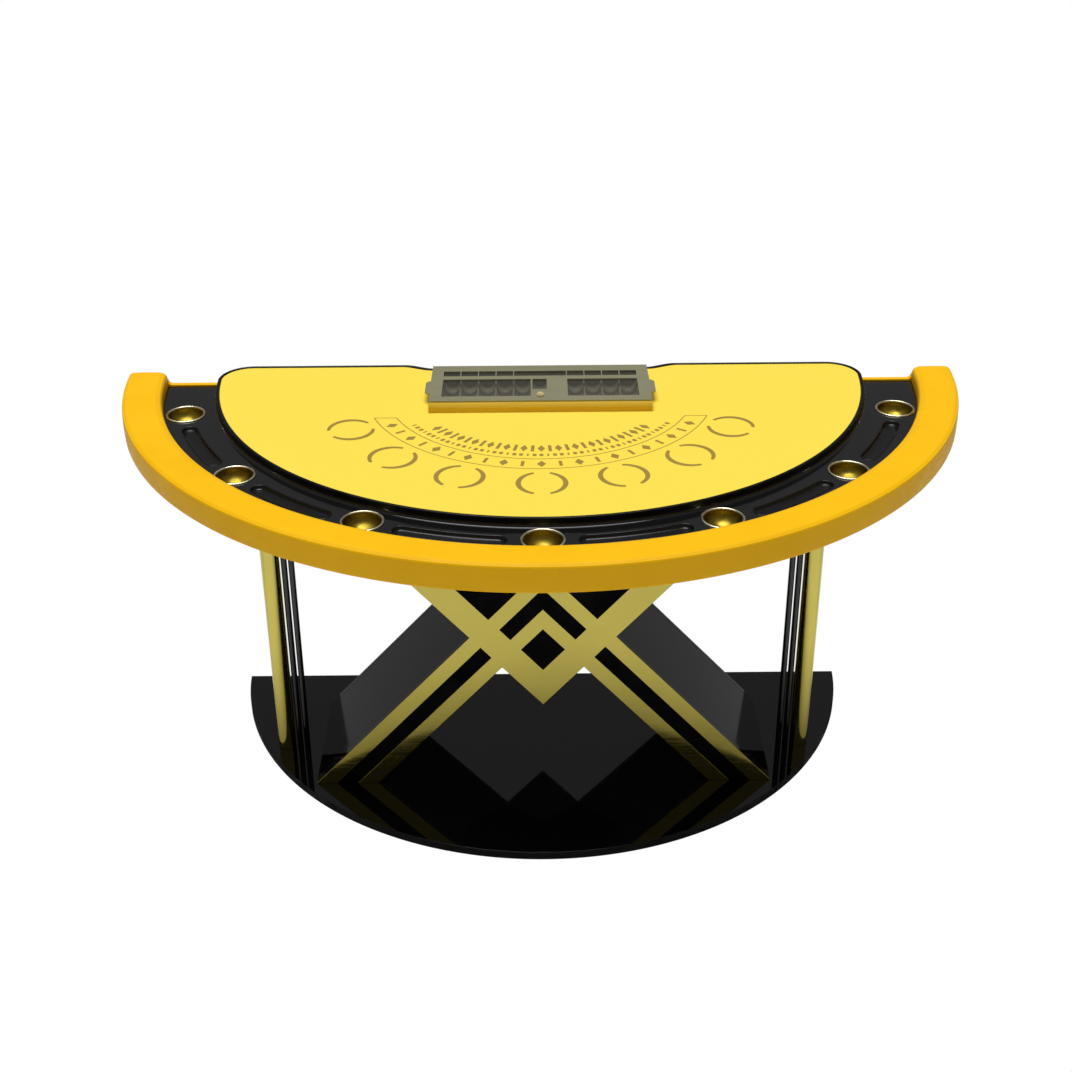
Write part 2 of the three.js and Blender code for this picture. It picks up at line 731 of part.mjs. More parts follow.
add('bearer_front', finish(bearer(-110)), 0x2a2622, 0.7, 0);
add('bearer_back', finish(bearer(110)), 0x2a2622, 0.7, 0);
add('sub_top', finish(subTop()), 0x8d6b43, 0.7, 0);
add('armrest_core', finish(armrestCore()), 0x8d6b43, 0.7, 0);
add('armrest_pad', finish(armrestPad()), 0xf5a90f, 0.45, 0);
for (let k = 0; k < 8; k += 1) add(`racetrack_${k + 1}`, racetrack(k), BLACK, 0.15, 0);
add('deck_board', finish(deckBoard()), 0x8d6b43, 0.7, 0);
add('felt_cloth', finish(feltCloth()), 0xf3d24a, 0.95, 0);
add('deck_trim', finish(deckTrim()), 0x0c0c0c, 0.3, 0);
CUPS.forEach((_, i) => add(`cup_${i + 1}`, cup(i), 0xb08d2c, 0.25, 1));
add('tray_body', trayBody(), 0xc79a1c, 0.3, 1);
add('tray_lid', trayLid(), 0x8c8a73, 0.4, 1);
add('lid_window', finish(lidWindow()), 0x4a4842, 0.1, 0);
add('hinge_pin', finish(hingePin()), 0x9a9a9a, 0.3, 1);
add('lid_lock', lidLock(), 0xd9b13a, 0.25, 1);

export default group;
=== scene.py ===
# Looks for the half-moon card table. Lengths are in millimetres and scaled by MM.
import json
import math

import bmesh
import bpy
from mathutils import Matrix, Vector

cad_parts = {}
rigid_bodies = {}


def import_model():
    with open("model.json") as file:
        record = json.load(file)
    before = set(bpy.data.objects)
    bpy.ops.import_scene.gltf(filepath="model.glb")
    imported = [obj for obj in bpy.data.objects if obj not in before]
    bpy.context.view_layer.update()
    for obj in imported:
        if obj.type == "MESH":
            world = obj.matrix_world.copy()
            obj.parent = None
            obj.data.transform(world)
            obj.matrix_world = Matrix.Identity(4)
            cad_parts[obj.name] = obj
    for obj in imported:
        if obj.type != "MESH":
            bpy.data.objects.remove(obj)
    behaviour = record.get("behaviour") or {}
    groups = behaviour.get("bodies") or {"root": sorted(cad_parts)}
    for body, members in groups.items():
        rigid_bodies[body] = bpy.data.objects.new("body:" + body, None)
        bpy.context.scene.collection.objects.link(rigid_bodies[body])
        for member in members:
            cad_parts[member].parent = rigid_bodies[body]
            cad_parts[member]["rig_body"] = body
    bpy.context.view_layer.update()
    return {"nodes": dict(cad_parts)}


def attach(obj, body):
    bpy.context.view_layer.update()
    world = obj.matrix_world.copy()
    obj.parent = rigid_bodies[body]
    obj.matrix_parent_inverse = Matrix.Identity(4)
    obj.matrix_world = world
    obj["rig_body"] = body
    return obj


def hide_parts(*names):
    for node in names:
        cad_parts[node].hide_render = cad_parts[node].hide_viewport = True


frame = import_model()
MM = 0.001

# ------------------------------------------------------------- dimensions
# the top is most of half an ellipse, cut straight at TOP_BACK; insets run inwards from it
TOP_A, TOP_B, TOP_CY, TOP_BACK = 1065, 1038, 492, 481
TOP_END = math.acos((TOP_CY - TOP_BACK) / TOP_B)
TOP_HALF = TOP_A * math.sin(TOP_END)
STATIONS = 180

# armrest: heights, width, and the rail inside it
Z_ARM0, Z_ARM1, ARM_W = 793, 861, 98
Z_RAIL, RAIL_IN, RAIL_OUT, PAD_WALL = 838.5, 90.5, 19.5, 13.5
ARM_SOFT = 7
LIP_LENGTH, LIP_COVE = 15, 12

# racetrack, with the concave rise to the deck at its inner edge
Z_SUB_TOP, Z_TRACK = 804, 824
TRACK_END, TRACK_BACK, COVE_W, COVE_H = 231, 15.3, 6, 9.4
SLOT_INSETS, SLOT_HALF_W = (152, 160, 168, 168, 160, 152), 19
SLOT_GAP_DEG = 6.2
SLOT_CURVE_R = 905
SLOT_CUT = 1.2

# cups: angle from the front in degrees and inset of each centre
CUPS = ((-76.7, 153), (-51.6, 158), (-26.25, 173), (0, 173), (26.25, 173), (51.6, 158), (76.7, 153))
CUP_R, CUP_HOLE_R, BOWL_R, BOWL_DEPTH = 43, 44.2, 42.2, 31.5
Z_CUP = 789

# deck: back edge, the dealer's shallow cut-out, rounded back corners, edging
DECK_BACK, CUT_BACK, CUT_HALF, CORNER_R = 546, 521, 315, 84
CUT_EASE = 80
Z_DECK, Z_FELT, Z_TRIM = 842, 844, 846.5
TRIM_W, TRIM_R = 9, 3.2

# print on the felt: arcs about PRINT_C, their radii and the height of the ink
PRINT_C = (0, 365)
SPOT_DEG, SPOT_AT, SPOT_IN, SPOT_OUT = (-65, -43.3, -21.7, 0, 21.7, 43.3, 65), 508, 48, 60
BAND_IN, BAND_OUT, BAND_CUT, LINE_HALF = 384, 435, 216, 1.3
BAND_MARKS_R, DASHES_R, MARKS_R = 410, 363, 328
INK0, INK1 = 0.02, 0.16

# chip tray: opening in the deck, the grey wells inside it, its back wall
TRAY_HOLE = (-271.5, 271.5, 249.5, 457.5)
WELL_HALF, WELL_Y0, WELL_Y1, WELL_Z0, WELL_Z1 = 256, 250, 457, 824, 866
TRAY_BACK = 463.5

# columns: piece, distance from the middle, radius, material, slot
POSTS = (("tube", 657.5, 22.5, "tube", "gold_sheet"),
         ("rod_a", 624.8, 7.6, "lacquer", "lacquer_black"),
         ("rod_b", 607.1, 7.5, "lacquer", "lacquer_black"))
COL_Y, Z_COL0, Z_COL1 = -9, 25.3, 779.4

# base plate: an ellipse cut straight at BASE_BACK
BASE_A, BASE_B, BASE_CY, BASE_BACK = 800, 797, 354, 311
Z_BASE0, Z_BASE1 = 3.3, 25


# ------------------------------------------------------------- mesh tools
def obj_from(name, verts, faces, mats, smooth=30, scale=MM):
    me = bpy.data.meshes.new(name)
    me.from_pydata([tuple(c * scale for c in v) for v in verts], [], faces)
    bm = bmesh.new()
    bm.from_mesh(me)
    bmesh.ops.remove_doubles(bm, verts=bm.verts, dist=1e-6)
    bmesh.ops.recalc_face_normals(bm, faces=bm.faces)
    bm.to_mesh(me)
    bm.free()
    for m in mats:
        me.materials.append(m)
    ob = bpy.data.objects.new(name, me)
    bpy.context.scene.collection.objects.link(ob)
    shade(ob, smooth)
    return ob


def shade(ob, angle):
    ob.data.polygons.foreach_set("use_smooth", [True] * len(ob.data.polygons))
    ob.data.set_sharp_from_angle(angle=math.radians(angle))
    ob.data.update()


def apply_all(ob):
    bpy.context.view_layer.update()
    dep = bpy.context.evaluated_depsgraph_get()
    me = bpy.data.meshes.new_from_object(ob.evaluated_get(dep))
    old = ob.data
    ob.modifiers.clear()
    ob.data = me
    me.name = ob.name
    if old.users == 0:
        bpy.data.meshes.remove(old)
    return ob


def dress(node, mat, bevel=1.5, segments=3, limit=35, name=None):
    """A bevelled copy of a CAD node that stands for it."""
    src = frame["nodes"][node]
    me = bpy.data.meshes.new(name or "v_" + node)
    bm = bmesh.new()
    bm.from_mesh(src.data)
    bmesh.ops.remove_doubles(bm, verts=bm.verts, dist=1e-5)
    bmesh.ops.dissolve_limit(bm, angle_limit=math.radians(1), verts=bm.verts, edges=bm.edges)
    bm.to_mesh(me)
    bm.free()
    me.materials.clear()
    me.materials.append(mat)
    ob = bpy.data.objects.new(me.name, me)
    bpy.context.scene.collection.objects.link(ob)
    mod = ob.modifiers.new("bevel", "BEVEL")
    mod.width = bevel * MM
    mod.segments = segments
    mod.limit_method = "ANGLE"
    mod.angle_limit = math.radians(limit)
    mod.harden_normals = False
    shade(ob, limit)
    wn = ob.modifiers.new("normals", "WEIGHTED_NORMAL")
    wn.keep_sharp = True
    apply_all(ob)
    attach(ob, src["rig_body"])
    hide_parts(node)
    return ob


def fillet(points, radii, steps=5):
    """A closed outline with each corner rounded by its radius."""
    out = []
    n = len(points)
    for i, (p, r) in enumerate(zip(points, radii)):
        a, b, c = Vector(points[i - 1]), Vector(p), Vector(points[(i + 1) % n])
        if r <= 0:
            out.append(tuple(b))
            continue
        u, v = (a - b).normalized(), (c - b).normalized()
        half = u.angle(v) / 2
        cut = min(r / math.tan(half), 0.49 * (a - b).length, 0.49 * (c - b).length)
        r = cut * math.tan(half)
        centre = b + (u + v).normalized() * (r / math.sin(half))
        s, e = b + u * cut - centre, b + v * cut - centre
        turn = s.angle_signed(e)
        for k in range(steps + 1):
            t = -turn * k / steps
            x = s.x * math.cos(t) - s.y * math.sin(t)
            y = s.x * math.sin(t) + s.y * math.cos(t)
            out.append((centre.x + x, centre.y + y))
    return out


def on_top(angle, d):
    """A point of the top's outline at an angle from the front, d inwards."""
    s, c = math.sin(angle), math.cos(angle)
    nx, ny = -s / TOP_A, c / TOP_B
    n = math.hypot(nx, ny)
    return TOP_A * s + nx / n * d, TOP_CY - TOP_B * c + ny / n * d


def station(i, d, y_end=TOP_BACK, count=STATIONS):
    """Point i of the curve that runs d inside the top's outline."""
    if 0 < i < count:
        x, y = on_top(-TOP_END + 2 * TOP_END * i / count, d)
        return x, min(y, y_end)
    side = -1 if i == 0 else 1
    return side * (TOP_HALF - d), y_end


def curve_at(d, y_end=TOP_BACK, count=STATIONS):
    return [station(i, d, y_end, count) for i in range(count + 1)]


def loft(name, rings, mats, smooth=35, cap=True):
    """Skins closed rings of equal length, with flat caps."""
    n = len(rings[0])
    verts = [v for ring in rings for v in ring]
    faces = []
    for i in range(len(rings) - 1):
        for j in range(n):
            k = (j + 1) % n
            faces.append((i * n + j, i * n + k, (i + 1) * n + k, (i + 1) * n + j))
    if cap:
        faces.append(tuple(range(n)))
        faces.append(tuple(reversed(range((len(rings) - 1) * n, len(rings) * n))))
    return obj_from(name, verts, faces, mats, smooth)


def sweep(name, section, mats, y_end=TOP_BACK, count=STATIONS, smooth=35, soft=0):
    """A section of (inset, height) carried round the top; both ends rounded over soft."""
    cd = sum(p[0] for p in section) / len(section)
    cz = sum(p[1] for p in section) / len(section)
    rings = []
    for i in range(count + 1):
        rings.append([(*station(i, d, y_end - soft, count), z) for d, z in section])
    if soft:
        for k in range(1, 6):
            t = k / 5 * math.pi / 2
            inset, out = soft * (1 - math.cos(t)), soft * math.sin(t)
            for side in (0, count):
                ring = []
                for d, z in section:
                    v = Vector((cd - d, cz - z))
                    v *= min(1, inset / max(v.length, 1e-6))
                    x, y = station(side, d + v.x, y_end - soft, count)
                    ring.append((x, y + out, z + v.y))
                if side == 0:
                    rings.insert(0, ring)
                else:
                    rings.append(ring)
    return loft(name, rings, mats, smooth)


def slab(name, outline, z0, z1, mats, bevel=1.0, holes=(), upright=False, segs=3):
    """An outline given thickness, every edge rounded; upright turns Z into -Y."""
    cu = bpy.data.curves.new(name, "CURVE")
    cu.dimensions = "2D"
    cu.fill_mode = "BOTH"
    for loop in (outline, *holes):
        sp = cu.splines.new("POLY")
        sp.points.add(len(loop) - 1)
        for p, (x, y) in zip(sp.points, loop):
            p.co = (x * MM, y * MM, 0, 1)
        sp.use_cyclic_u = True
    cu.extrude = max((z1 - z0) / 2 - bevel, 1e-3) * MM
    cu.bevel_depth = bevel * MM
    cu.bevel_resolution = segs
    cu.offset = -bevel * MM
    tmp = bpy.data.objects.new(name + "_c", cu)
    bpy.context.scene.collection.objects.link(tmp)
    dep = bpy.context.evaluated_depsgraph_get()
    me = bpy.data.meshes.new_from_object(tmp.evaluated_get(dep))
    bpy.data.objects.remove(tmp)
    bpy.data.curves.remove(cu)
    bm = bmesh.new()
    bm.from_mesh(me)
    bmesh.ops.remove_doubles(bm, verts=bm.verts, dist=2e-6)
    bmesh.ops.dissolve_degenerate(bm, dist=1e-7, edges=bm.edges)
    bmesh.ops.recalc_face_normals(bm, faces=bm.faces)
    for v in bm.verts:
        x, y, z = v.co
        z += (z0 + z1) / 2 * MM
        v.co = (x, -z, y) if upright else (x, y, z)
    if upright:
        bmesh.ops.recalc_face_normals(bm, faces=bm.faces)
    bm.to_mesh(me)
    bm.free()
    me.name = name
    me.materials.clear()
    for m in mats:
        me.materials.append(m)
    ob = bpy.data.objects.new(name, me)
    bpy.context.scene.collection.objects.link(ob)
    shade(ob, 35)
    wn = ob.modifiers.new("normals", "WEIGHTED_NORMAL")
    wn.keep_sharp = True
    return apply_all(ob)


def lathe(name, profile, mats, segments=64, at=(0, 0), mat_of=None, smooth=35):
    """A profile of (radius, height) turned about a vertical axis."""
    verts, faces = [], []
    n = len(profile)
    for i in range(segments):
        t = 2 * math.pi * i / segments
        for r, z in profile:
            verts.append((at[0] + r * math.cos(t), at[1] + r * math.sin(t), z))
    for i in range(segments):
        for j in range(n - 1):
            a, b = i * n + j, ((i + 1) % segments) * n + j
            faces.append((a, b, b + 1, a + 1))
    ob = obj_from(name, verts, faces, mats, smooth)
    if mat_of:
        for p in ob.data.polygons:
            c = p.center / MM
            p.material_index = mat_of(math.hypot(c.x - at[0], c.y - at[1]), c.z)
    return ob


def join(name, objs):
    bm = bmesh.new()
    mats = []
    for o in objs:
        tmp = bmesh.new()
        tmp.from_mesh(o.data)
        index = []
        for m in o.data.materials:
            if m not in mats:
                mats.append(m)
            index.append(mats.index(m))
        for f in tmp.faces:
            f.material_index = index[f.material_index] if index else 0
        part = bpy.data.meshes.new("tmp")
        tmp.to_mesh(part)
        tmp.free()
        bm.from_mesh(part)
        bpy.data.meshes.remove(part)
        bpy.data.objects.remove(o)
    me = bpy.data.meshes.new(name)
    bm.to_mesh(me)
    bm.free()
    for m in mats:
        me.materials.append(m)
    ob = bpy.data.objects.new(name, me)
    bpy.context.scene.collection.objects.link(ob)
    return ob


# -------------------------------------------------------------- materials
class Mat:
    """A node material: principled shader plus small helpers."""

    def __init__(self, name, color, rough=0.5, metal=0.0, **extra):
        self.m = bpy.data.materials.new(name)
        self.m.use_nodes = True
        self.m.diffuse_color = (*color, 1)
        self.nt = self.m.node_tree
        self.p = self.nt.nodes["Principled BSDF"]
        self.p.inputs["Base Color"].default_value = (*color, 1)
        self.p.inputs["Roughness"].default_value = rough
        self.p.inputs["Metallic"].default_value = metal
        for key, value in extra.items():
            self.p.inputs[key.replace("_", " ")].default_value = value
        self.height = None

    def node(self, kind, **props):
        n = self.nt.nodes.new(kind)
        for key, value in props.items():
            if key in n.inputs:
                n.inputs[key].default_value = value
            else:
                setattr(n, key, value)
        return n

    def link(self, a, b):
        self.nt.links.new(a, b)

    def coords(self, scale=(1, 1, 1)):
        if not hasattr(self, "tc"):
            self.tc = self.node("ShaderNodeTexCoord")
        mp = self.node("ShaderNodeMapping")
        mp.inputs["Scale"].default_value = scale
        self.link(self.tc.outputs["Object"], mp.inputs["Vector"])
        return mp.outputs["Vector"]

    def noise(self, scale, detail=3.0, rough=0.55, stretch=(1, 1, 1), distort=0.0):
        n = self.node("ShaderNodeTexNoise", Scale=scale, Detail=detail, Roughness=rough)
        n.inputs["Distortion"].default_value = distort
        self.link(self.coords(stretch), n.inputs["Vector"])
        return n.outputs["Fac"]

    def ramp(self, fac, lo, hi, out_lo=0.0, out_hi=1.0):
        r = self.node("ShaderNodeMapRange")
        r.inputs["From Min"].default_value = lo
        r.inputs["From Max"].default_value = hi
        r.inputs["To Min"].default_value = out_lo
        r.inputs["To Max"].default_value = out_hi
        self.link(fac, r.inputs["Value"])
        return r.outputs["Result"]

    def vary_color(self, fac, a, b):
        mix = self.node("ShaderNodeMix", data_type="RGBA")
        mix.inputs[6].default_value = (*a, 1)
        mix.inputs[7].default_value = (*b, 1)
        self.link(fac, mix.inputs[0])
        self.link(mix.outputs[2], self.p.inputs["Base Color"])
        return mix

    def vary_rough(self, fac, lo, hi, a=0.35, b=0.65):
        self.link(self.ramp(fac, a, b, lo, hi), self.p.inputs["Roughness"])

    def bump(self, fac, strength, distance):
        b = self.node("ShaderNodeBump", Strength=strength, Distance=distance)
        self.link(fac, b.inputs["Height"])
        if self.height is not None:
            self.link(self.height, b.inputs["Normal"])
        self.height = b.outputs["Normal"]
        self.link(self.height, self.p.inputs["Normal"])


def make_materials():
    mats = {}

    v = Mat("vinyl_amber", (0.95, 0.51, 0.004), 0.45, Specular_IOR_Level=0.1)
    v.vary_color(v.ramp(v.noise(6, 4), 0.35, 0.65), (0.93, 0.50, 0.003), (0.97, 0.53, 0.005))
    v.vary_rough(v.noise(30, 3), 0.38, 0.5)
    vor = v.node("ShaderNodeTexVoronoi", Scale=520)
    v.link(v.coords(), vor.inputs["Vector"])
    v.bump(vor.outputs["Distance"], 0.16, 0.0006)
    v.bump(v.noise(90, 4), 0.06, 0.0015)
    mats["vinyl"] = v

    f = Mat("felt_yellow", (0.95, 0.70, 0.085), 0.95, Specular_IOR_Level=0.15)
    f.p.inputs["Sheen Weight"].default_value = 0.1
    f.p.inputs["Sheen Roughness"].default_value = 0.6
    f.vary_color(f.ramp(f.noise(900, 4, 0.7), 0.3, 0.7), (0.90, 0.68, 0.062), (0.98, 0.755, 0.080))
    f.bump(f.noise(1400, 3, 0.7), 0.35, 0.0006)
    f.bump(f.noise(260, 4, 0.6, (1, 1, 1)), 0.12, 0.001)
    mats["felt"] = f

    ink = Mat("print_ink", (0.34, 0.22, 0.045), 0.9, Specular_IOR_Level=0.1)
    ink.vary_color(ink.ramp(ink.noise(700, 3, 0.7), 0.3, 0.7), (0.30, 0.19, 0.04), (0.40, 0.27, 0.06))
    ink.bump(ink.noise(1400, 3, 0.7), 0.3, 0.0004)
    mats["ink"] = ink

    def gloss(name, color, rough=0.05, level=0.5, peel=0.05):
        g = Mat(name, color, rough, Specular_IOR_Level=level)
        g.vary_rough(g.noise(14, 5, 0.6), rough * 0.7, rough * 1.6)
        g.bump(g.noise(70, 2, 0.4), peel, 0.0004)
        return g

    mats["lacquer"] = gloss("lacquer_black", (0.004, 0.004, 0.0045), 0.05)
    mats["base"] = gloss("base_black", (0.0025, 0.0025, 0.0028), 0.03, 0.5, 0.02)
    # dull, low-sheen copy of the base lacquer for its sides: painted shade that hides the highlight
    # along its edge
    mats["edge"] = gloss("base_side_painted_shade", (0.004, 0.004, 0.004), 0.45, 0.12, 0.05)
    mats["slab"] = gloss("leg_black", (0.004, 0.004, 0.0045), 0.05, 0.25)
    mats["track"] = gloss("racetrack_black", (0.006, 0.006, 0.006), 0.08)
    mats["inlay"] = gloss("inlay_black", (0.0012, 0.0012, 0.0012), 0.5, 0.04, 0.02)
    mats["trim"] = gloss("trim_black", (0.003, 0.003, 0.003), 0.3, 0.18)
    # darker, duller copy of the racetrack's black for the troughs: painted shade in the recesses of
    # the one moulding
    mats["trough"] = gloss("trough_painted_shade", (0.004, 0.004, 0.004), 0.2, 0.3)

    def metal(name, color, rough, brushed=None, dark=0.8, metallic=1.0):
        g = Mat(name, color, rough, metallic)
        stretch = brushed or (1, 1, 1)
        low = tuple(c * dark for c in color)
        g.vary_color(g.ramp(g.noise(5, 4), 0.3, 0.7), low, color)
        g.vary_rough(g.noise(240 if brushed else 40, 3, 0.6, stretch), rough * 0.75, rough * 1.35)
        g.bump(g.noise(600 if brushed else 200, 2, 0.5, stretch), 0.03, 0.0003)
        return g

    mats["gold"] = metal("gold_sheet", (0.49, 0.41, 0.088), 0.14, (0.04, 1, 1), 0.92)
    mats["tube"] = metal("gold_tube", (0.56, 0.475, 0.105), 0.14, (1, 1, 0.04), 0.92)
    mats["rim"] = metal("cup_rim", (0.72, 0.66, 0.46), 0.3, None, 0.95)
    mats["bowl"] = metal("cup_bowl", (0.33, 0.235, 0.028), 0.36, None, 0.7)
    mats["tray"] = metal("tray_gold", (0.74, 0.46, 0.018), 0.42, (0.04, 1, 1), 0.94, 0.15)
    mats["lid"] = metal("lid_grey", (0.30, 0.285, 0.175), 0.34, (0.04, 1, 1), 0.9, 0.25)
    mats["well"] = metal("tray_grey", (0.42, 0.40, 0.27), 0.4, (0.04, 1, 1), 0.9, 0.1)
    mats["pin"] = metal("steel_pin", (0.55, 0.55, 0.55), 0.25, (0.04, 1, 1))
    mats["lock"] = metal("lock_brass", (0.86, 0.74, 0.38), 0.35, None, 0.9, 0.4)

    s = Mat("steel_plate", (0.02, 0.02, 0.02), 0.5, 0.4)
    s.bump(s.noise(900, 2), 0.2, 0.0003)
    mats["plate"] = s

    pane = Mat("smoked_pane", (0.10, 0.095, 0.08), 0.08, Alpha=0.28)
    pane.vary_rough(pane.noise(30, 3), 0.05, 0.14)
    mats["pane"] = pane

    w = Mat("plywood", (0.50, 0.36, 0.20), 0.6)
    w.vary_color(w.ramp(w.noise(10, 6, 0.65, (0.6, 8, 8), 0.4), 0.3, 0.7),
                 (0.36, 0.23, 0.11), (0.60, 0.43, 0.25))
    w.bump(w.noise(60, 4, 0.6, (0.4, 8, 8)), 0.15, 0.0006)
    mats["ply"] = w

    d = Mat("bearer_wood", (0.03, 0.026, 0.022), 0.55)
    d.vary_color(d.ramp(d.noise(10, 6, 0.65, (0.6, 8, 8), 0.4), 0.3, 0.7),
                 (0.018, 0.015, 0.013), (0.045, 0.038, 0.03))
    d.bump(d.noise(60, 4, 0.6, (0.4, 8, 8)), 0.15, 0.0006)
    mats["bearer"] = d

    r = Mat("underlay_rubber", (0.02, 0.02, 0.02), 0.85)
    r.bump(r.noise(500, 2), 0.3, 0.0006)
    mats["rubber"] = r
    return {k: m.m for k, m in mats.items()}


MAT = make_materials()


def place(ob, body, *nodes, slot=None):
    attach(ob, body)
    if nodes:
        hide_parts(*nodes)
    return ob


# -------------------------------------------------------------- table top
def armrest():
    z_in = Z_SUB_TOP + 0.4
    corners = [(0, Z_ARM0), (0, Z_ARM1), (ARM_W, Z_ARM1), (ARM_W, z_in),
               (RAIL_IN, z_in), (RAIL_IN, Z_RAIL), (RAIL_OUT, Z_RAIL), (RAIL_OUT, z_in),
               (PAD_WALL, z_in), (PAD_WALL, Z_ARM0)]
    outline = fillet(corners, [4, 12, 19, 1, 0.6, 1, 1, 0.6, 0.6, 3], 8)
    # the long outer sides get points between their corners, so that they can swell
    section = []
    for i, (d, z) in enumerate(outline):
        section.append((d, z))
        d2, z2 = outline[(i + 1) % len(outline)]
        outer_side = z > Z_RAIL + 0.1 or d < 1 or d > ARM_W - 1
        if math.hypot(d2 - d, z2 - z) > 14 and outer_side:
            for k in range(1, 7):
                section.append((d + (d2 - d) * k / 7, z + (z2 - z) * k / 7))
    crowned = []
    crown, middle, belly = 2.2, 46, 0.8
    for d, z in section:
        if z > Z_ARM1 - 5:
            z -= crown * (abs(d - middle) / middle) ** 2
        if d < 0.5 and Z_ARM0 + 7 < z < Z_ARM1 - 13:
            d -= belly * math.sin(math.pi * (z - Z_ARM0 - 4) / 52)
        crowned.append((d, z))
    ob = sweep("armrest_vinyl", crowned, [MAT["vinyl"]], soft=ARM_SOFT, smooth=60)
    # the square back ends are closed with a thin cap each
    cap = [(1.5, Z_ARM0 + 3), (1.5, 846), (6, 855), (16, 859), (78, 859), (90, 855), (95.5, 846),
           (96, Z_SUB_TOP + 1), (15, Z_SUB_TOP + 1), (13, Z_ARM0 + 1)]
    ends = [slab("end_" + tag, [(side * (TOP_HALF - d), z) for d, z in cap], 1.0 - TOP_BACK,
                 5.5 - TOP_BACK, [MAT["vinyl"]], 1.6, upright=True)
            for side, tag in ((-1, "left"), (1, "right"))]
    ob = join("armrest_vinyl", [ob, *ends])
    place(ob, "table", "armrest_pad", slot="vinyl_amber")


def end_lips():
    x0 = TOP_HALF - TRACK_END + 0.3
    x1 = TOP_HALF - ARM_W - 0.7
    z0, z, r = Z_SUB_TOP + 0.4, Z_TRACK + 5, LIP_COVE
    arc = [(x1 - r + r * math.sin(t), z + r - r * math.cos(t))
           for t in (math.pi / 2 * k / 8 for k in range(9))]
    prof = [(x0, z0), (x1, z0), *reversed(arc), (x0 + 3, z), (x0 + 0.8, z - 0.9), (x0, z - 3)]
    for side, tag in ((-1, "left"), (1, "right")):
        pts = [(side * x, zz) for x, zz in prof]
        ob = slab("end_lip_vinyl_" + tag, pts, -TOP_BACK + 0.2, -TOP_BACK + LIP_LENGTH,
                  [MAT["vinyl"]], 2.2, upright=True, segs=4)
        place(ob, "table", "end_lip_" + tag, slot="vinyl_amber")


def slot_outline(i, grow=0.0):
    """A long slot with round ends between two cups, widened all round by grow."""
    a0, a1 = CUPS[i][0] + SLOT_GAP_DEG, CUPS[i + 1][0] - SLOT_GAP_DEG
    mid = SLOT_INSETS[i]
    pts = []
    half = SLOT_HALF_W + grow

    def put(deg, d):
        pts.append(on_top(math.radians(deg), d))

    steps = 24
    for k in range(steps + 1):
        put(a0 + (a1 - a0) * k / steps, mid - half)
    cap = math.degrees(half / SLOT_CURVE_R)
    for k in range(1, 14):
        t = k / 14 * math.pi
        put(a1 + cap * math.sin(t), mid - half * math.cos(t))
    for k in range(steps, -1, -1):
        put(a0 + (a1 - a0) * k / steps, mid + half)
    for k in range(1, 14):
        t = k / 14 * math.pi
        put(a0 - cap * math.sin(t), mid + half * math.cos(t))
    return pts


def cut(target, tools):
    for tool in tools:
        mod = target.modifiers.new("cut", "BOOLEAN")
        mod.operation = "DIFFERENCE"
        mod.solver = "EXACT"
        mod.object = tool
    apply_all(target)
    for tool in tools:
        bpy.data.objects.remove(tool)


def racetrack():
    z0, e = Z_SUB_TOP + 0.3, TRACK_END - 0.3
    cove = [(e - COVE_W - 1 + COVE_W * math.sin(t), Z_TRACK + COVE_H * (1 - math.cos(t)))
            for t in (math.pi / 2 * k / 10 for k in range(11))]
    prof = [(ARM_W + 0.4, z0), (ARM_W + 0.4, Z_TRACK - 1), (ARM_W + 1.4, Z_TRACK), (160, Z_TRACK),
            *cove, (e, Z_TRACK + COVE_H), (e, z0)]
    ob = sweep("racetrack_gloss", prof, [MAT["track"]], y_end=TOP_BACK - TRACK_BACK)
    tools = []
    for a, inset in CUPS:
        x, y = on_top(math.radians(a), inset)
        ring = [(x + CUP_HOLE_R * math.cos(t), y + CUP_HOLE_R * math.sin(t))
                for t in (2 * math.pi * k / 48 for k in range(48))]
        tools.append(loft("tool", [[(px, py, z) for px, py in ring] for z in (790, 850)], []))
    for i in range(6):
        ring = slot_outline(i, SLOT_CUT)
        tools.append(loft("tool", [[(x, y, z) for x, y in ring] for z in (Z_TRACK - 12, 850)], []))
    cut(ob, tools)
    shade(ob, 35)
    place(ob, "table", *[f"racetrack_{k}" for k in range(1, 9)], slot="racetrack_black")
    troughs()


def troughs():
    """Each trough is one closed skin: a raised lip, curved walls, a floor, an underside; its darker,
    duller black paints shade into the recess.
    """
    # steps of (widening, height over the racetrack); the floor is the tenth, its underside next
    ring_at = ((3.2, 0.0), (3.0, 0.7), (2.2, 1.1), (1.2, 1.1), (0.3, 0.6), (-0.6, -0.6),
               (-1.6, -3.5), (-3.4, -6.4), (-6.5, -8.0), (-12, -8.6),
               (-8, -10.5), (0.6, -10.5), (0.9, -0.4), (3.0, -0.2))
    for i in range(6):
        rings = [[(x, y, Z_TRACK + z) for x, y in slot_outline(i, grow)] for grow, z in ring_at]
        n = len(rings[0])
        floor, under, count = 9, 10, len(ring_at)
        faces = [tuple(range(a * n, (a + 1) * n)) for a in (floor, under)]
        for a in (*range(floor), *range(under, count)):
            b = (a + 1) % count
            for j in range(n):
                k = (j + 1) % n
                faces.append((a * n + j, a * n + k, b * n + k, b * n + j))
        tr = obj_from(f"trough_{i + 1}", [v for r in rings for v in r], faces, [MAT["trough"]], 50)
        place(tr, "table", slot="racetrack_black")


